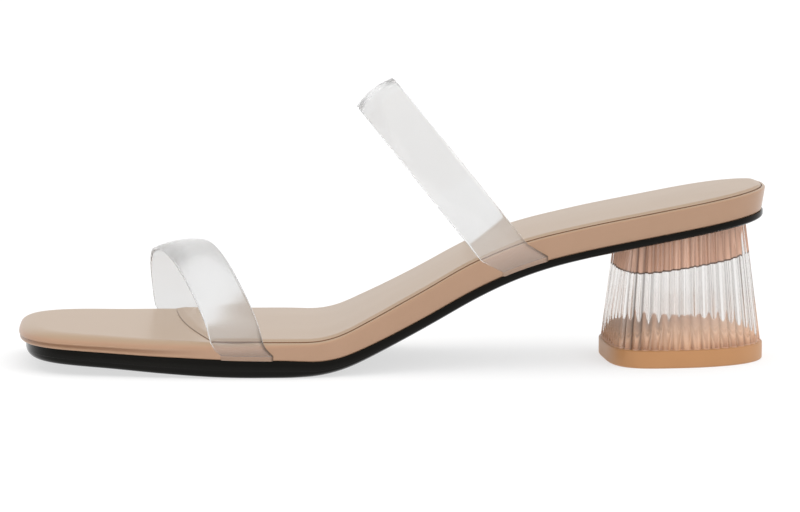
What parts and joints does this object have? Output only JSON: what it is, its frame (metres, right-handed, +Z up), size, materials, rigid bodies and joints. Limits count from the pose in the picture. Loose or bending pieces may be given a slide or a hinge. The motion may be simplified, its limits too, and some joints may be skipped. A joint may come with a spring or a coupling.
{
  "type": "slide sandal",
  "caption": "Left slide sandal with a thin sole, two clear bands over the toes and the instep, and a clear fluted block heel.",
  "frame": {"origin": "on the floor under the middle of the shoe's box", "axes": "-X towards the toe, -Y towards the outer side of the foot, +Z up"},
  "size_m": [0.24, 0.0831, 0.0915],
  "materials": {
    "outsole_rubber": "smooth, glossy black",
    "footbed_leather": "smooth nude leather, satin",
    "sock_leather": "smooth pale nude leather, satin",
    "front_band": "clear soft plastic band, glossy",
    "rear_band": "clear soft plastic band, glossy",
    "heel_clear": "clear acrylic, polished and fluted",
    "heel_plug": "nude plastic",
    "lift_plastic": "nude plastic, satin"
  },
  "bodies": {
    "root": {"outsole": "outsole_rubber", "footbed": "footbed_leather", "insole_sock": "sock_leather", "front_strap": "front_band", "rear_strap": "rear_band", "heel_block": "heel_clear", "heel_insert": "heel_plug", "top_lift": "lift_plastic"}
  },
  "joints": []
}
